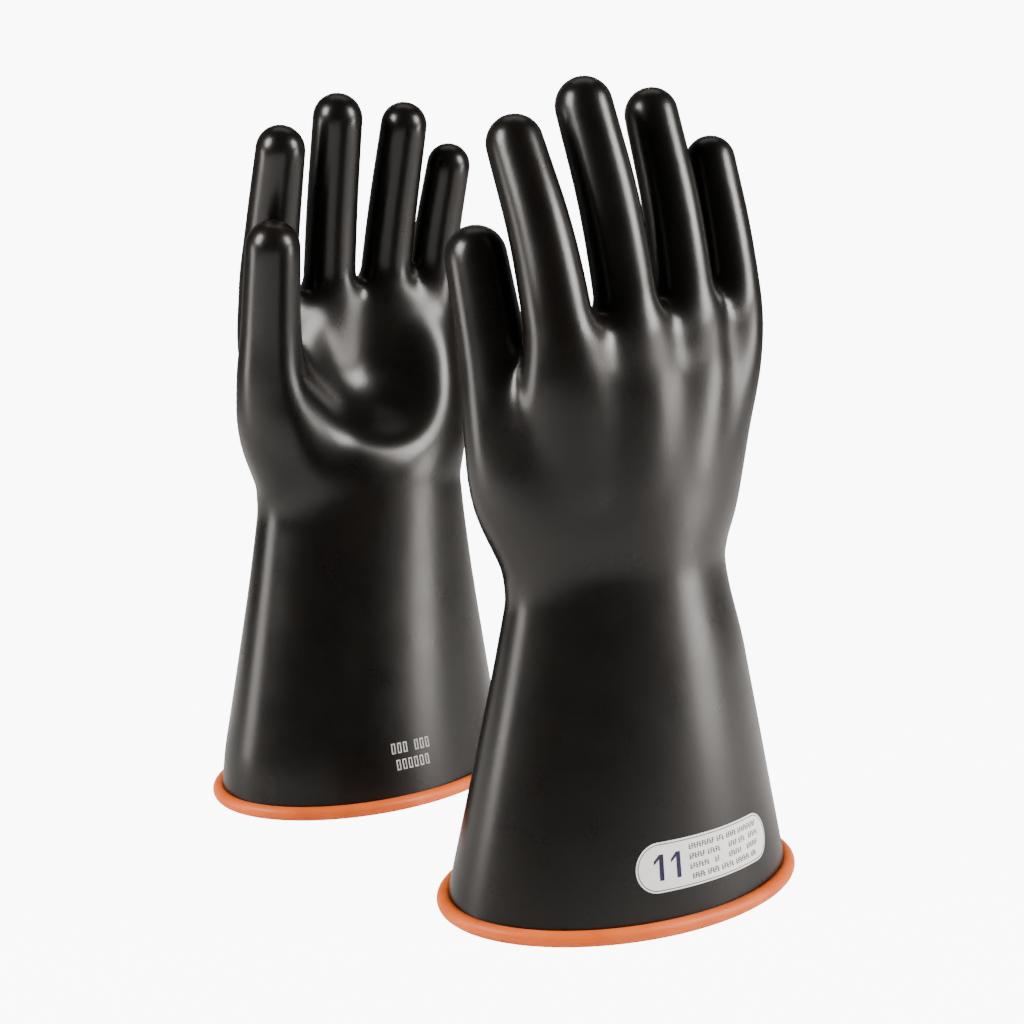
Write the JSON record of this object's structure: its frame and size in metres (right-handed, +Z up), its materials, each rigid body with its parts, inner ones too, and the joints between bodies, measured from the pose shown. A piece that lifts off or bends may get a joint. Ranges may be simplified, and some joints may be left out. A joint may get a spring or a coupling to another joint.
{
  "type": "electrical insulating gloves",
  "caption": "Pair of long dipped rubber insulating gloves standing on rolled cuffs: black outer film, orange inner film, fingers that bend and spring back.",
  "frame": {"origin": "middle of the pair's footprint, on the surface that the gloves stand on", "axes": "+Z up along the gloves, +X to the right and +Y to the back of the standing pair, the right-hand glove in front on the +X side"},
  "size_m": [0.2867, 0.3149, 0.356],
  "materials": {
    "black_rubber": "satin dipped rubber",
    "orange_rubber": "satin dipped rubber, slightly chalky",
    "label_white": "matt printed label",
    "label_ink": "matt dark ink",
    "stamp_ink": "matt grey ink"
  },
  "bodies": {
    "left_glove": {"left_hand_film": "black_rubber", "left_hand_lining": "orange_rubber", "left_cuff_bead": "orange_rubber", "left_size_label": "label_white", "left_label_print": "label_ink", "left_date_stamp": "stamp_ink", "left_thumb_knuckle_film": "black_rubber", "left_thumb_knuckle_lining": "orange_rubber", "left_index_knuckle_film": "black_rubber", "left_index_knuckle_lining": "orange_rubber", "left_middle_knuckle_film": "black_rubber", "left_middle_knuckle_lining": "orange_rubber", "left_ring_knuckle_film": "black_rubber", "left_ring_knuckle_lining": "orange_rubber", "left_little_knuckle_film": "black_rubber", "left_little_knuckle_lining": "orange_rubber"},
    "left_thumb": {"left_thumb_tip_film": "black_rubber", "left_thumb_tip_lining": "orange_rubber"},
    "left_index": {"left_index_tip_film": "black_rubber", "left_index_tip_lining": "orange_rubber"},
    "left_middle": {"left_middle_tip_film": "black_rubber", "left_middle_tip_lining": "orange_rubber"},
    "left_ring": {"left_ring_tip_film": "black_rubber", "left_ring_tip_lining": "orange_rubber"},
    "left_little": {"left_little_tip_film": "black_rubber", "left_little_tip_lining": "orange_rubber"},
    "right_glove": {"right_hand_film": "black_rubber", "right_hand_lining": "orange_rubber", "right_cuff_bead": "orange_rubber", "right_size_label": "label_white", "right_label_print": "label_ink", "right_date_stamp": "stamp_ink", "right_thumb_knuckle_film": "black_rubber", "right_thumb_knuckle_lining": "orange_rubber", "right_index_knuckle_film": "black_rubber", "right_index_knuckle_lining": "orange_rubber", "right_middle_knuckle_film": "black_rubber", "right_middle_knuckle_lining": "orange_rubber", "right_ring_knuckle_film": "black_rubber", "right_ring_knuckle_lining": "orange_rubber", "right_little_knuckle_film": "black_rubber", "right_little_knuckle_lining": "orange_rubber"},
    "right_thumb": {"right_thumb_tip_film": "black_rubber", "right_thumb_tip_lining": "orange_rubber"},
    "right_index": {"right_index_tip_film": "black_rubber", "right_index_tip_lining": "orange_rubber"},
    "right_middle": {"right_middle_tip_film": "black_rubber", "right_middle_tip_lining": "orange_rubber"},
    "right_ring": {"right_ring_tip_film": "black_rubber", "right_ring_tip_lining": "orange_rubber"},
    "right_little": {"right_little_tip_film": "black_rubber", "right_little_tip_lining": "orange_rubber"}
  },
  "joints": [
    {"name": "right_glove_lift", "type": "slide", "parent": "left_glove", "child": "right_glove", "axis": [0, 0, 1], "range_m": [0, 0.4]},
    {"name": "left_thumb_bend", "type": "hinge", "parent": "left_glove", "child": "left_thumb", "pos_m": [-0.10648, 0.02972, 0.25842], "axis": [0.4848, 0.8746, 0], "range_deg": [0, 40], "stiffness_Nm_per_rad": 0.1, "deforming": ["left_thumb_knuckle_film", "left_thumb_knuckle_lining"]},
    {"name": "left_index_bend", "type": "hinge", "parent": "left_glove", "child": "left_index", "pos_m": [-0.10563, 0.05076, 0.29761], "axis": [0.8572, 0.515, 0], "range_deg": [-12, 40], "stiffness_Nm_per_rad": 0.1, "deforming": ["left_index_knuckle_film", "left_index_knuckle_lining"]},
    {"name": "left_middle_bend", "type": "hinge", "parent": "left_glove", "child": "left_middle", "pos_m": [-0.07805, 0.07144, 0.29854], "axis": [0.8572, 0.515, 0], "range_deg": [-12, 50], "stiffness_Nm_per_rad": 0.1, "deforming": ["left_middle_knuckle_film", "left_middle_knuckle_lining"]},
    {"name": "left_ring_bend", "type": "hinge", "parent": "left_glove", "child": "left_ring", "pos_m": [-0.04874, 0.08923, 0.29659], "axis": [0.8572, 0.515, 0], "range_deg": [-12, 50], "stiffness_Nm_per_rad": 0.1, "deforming": ["left_ring_knuckle_film", "left_ring_knuckle_lining"]},
    {"name": "left_little_bend", "type": "hinge", "parent": "left_glove", "child": "left_little", "pos_m": [-0.02563, 0.10737, 0.28707], "axis": [0.8572, 0.515, 0], "range_deg": [-12, 50], "stiffness_Nm_per_rad": 0.1, "deforming": ["left_little_knuckle_film", "left_little_knuckle_lining"]},
    {"name": "right_thumb_bend", "type": "hinge", "parent": "right_glove", "child": "right_thumb", "pos_m": [0.00165, -0.10078, 0.25842], "axis": [-0.9945, -0.1045, 0], "range_deg": [0, 40], "stiffness_Nm_per_rad": 0.1, "deforming": ["right_thumb_knuckle_film", "right_thumb_knuckle_lining"]},
    {"name": "right_index_bend", "type": "hinge", "parent": "right_glove", "child": "right_index", "pos_m": [0.02135, -0.10821, 0.29761], "axis": [-0.809, -0.5878, 0], "range_deg": [-12, 40], "stiffness_Nm_per_rad": 0.1, "deforming": ["right_index_knuckle_film", "right_index_knuckle_lining"]},
    {"name": "right_middle_bend", "type": "hinge", "parent": "right_glove", "child": "right_middle", "pos_m": [0.05116, -0.0909, 0.29854], "axis": [-0.809, -0.5878, 0], "range_deg": [-12, 50], "stiffness_Nm_per_rad": 0.1, "deforming": ["right_middle_knuckle_film", "right_middle_knuckle_lining"]},
    {"name": "right_ring_bend", "type": "hinge", "parent": "right_glove", "child": "right_ring", "pos_m": [0.07899, -0.07087, 0.29659], "axis": [-0.809, -0.5878, 0], "range_deg": [-12, 50], "stiffness_Nm_per_rad": 0.1, "deforming": ["right_ring_knuckle_film", "right_ring_knuckle_lining"]},
    {"name": "right_little_bend", "type": "hinge", "parent": "right_glove", "child": "right_little", "pos_m": [0.10472, -0.05669, 0.28707], "axis": [-0.809, -0.5878, 0], "range_deg": [-12, 50], "stiffness_Nm_per_rad": 0.1, "deforming": ["right_little_knuckle_film", "right_little_knuckle_lining"]}
  ]
}
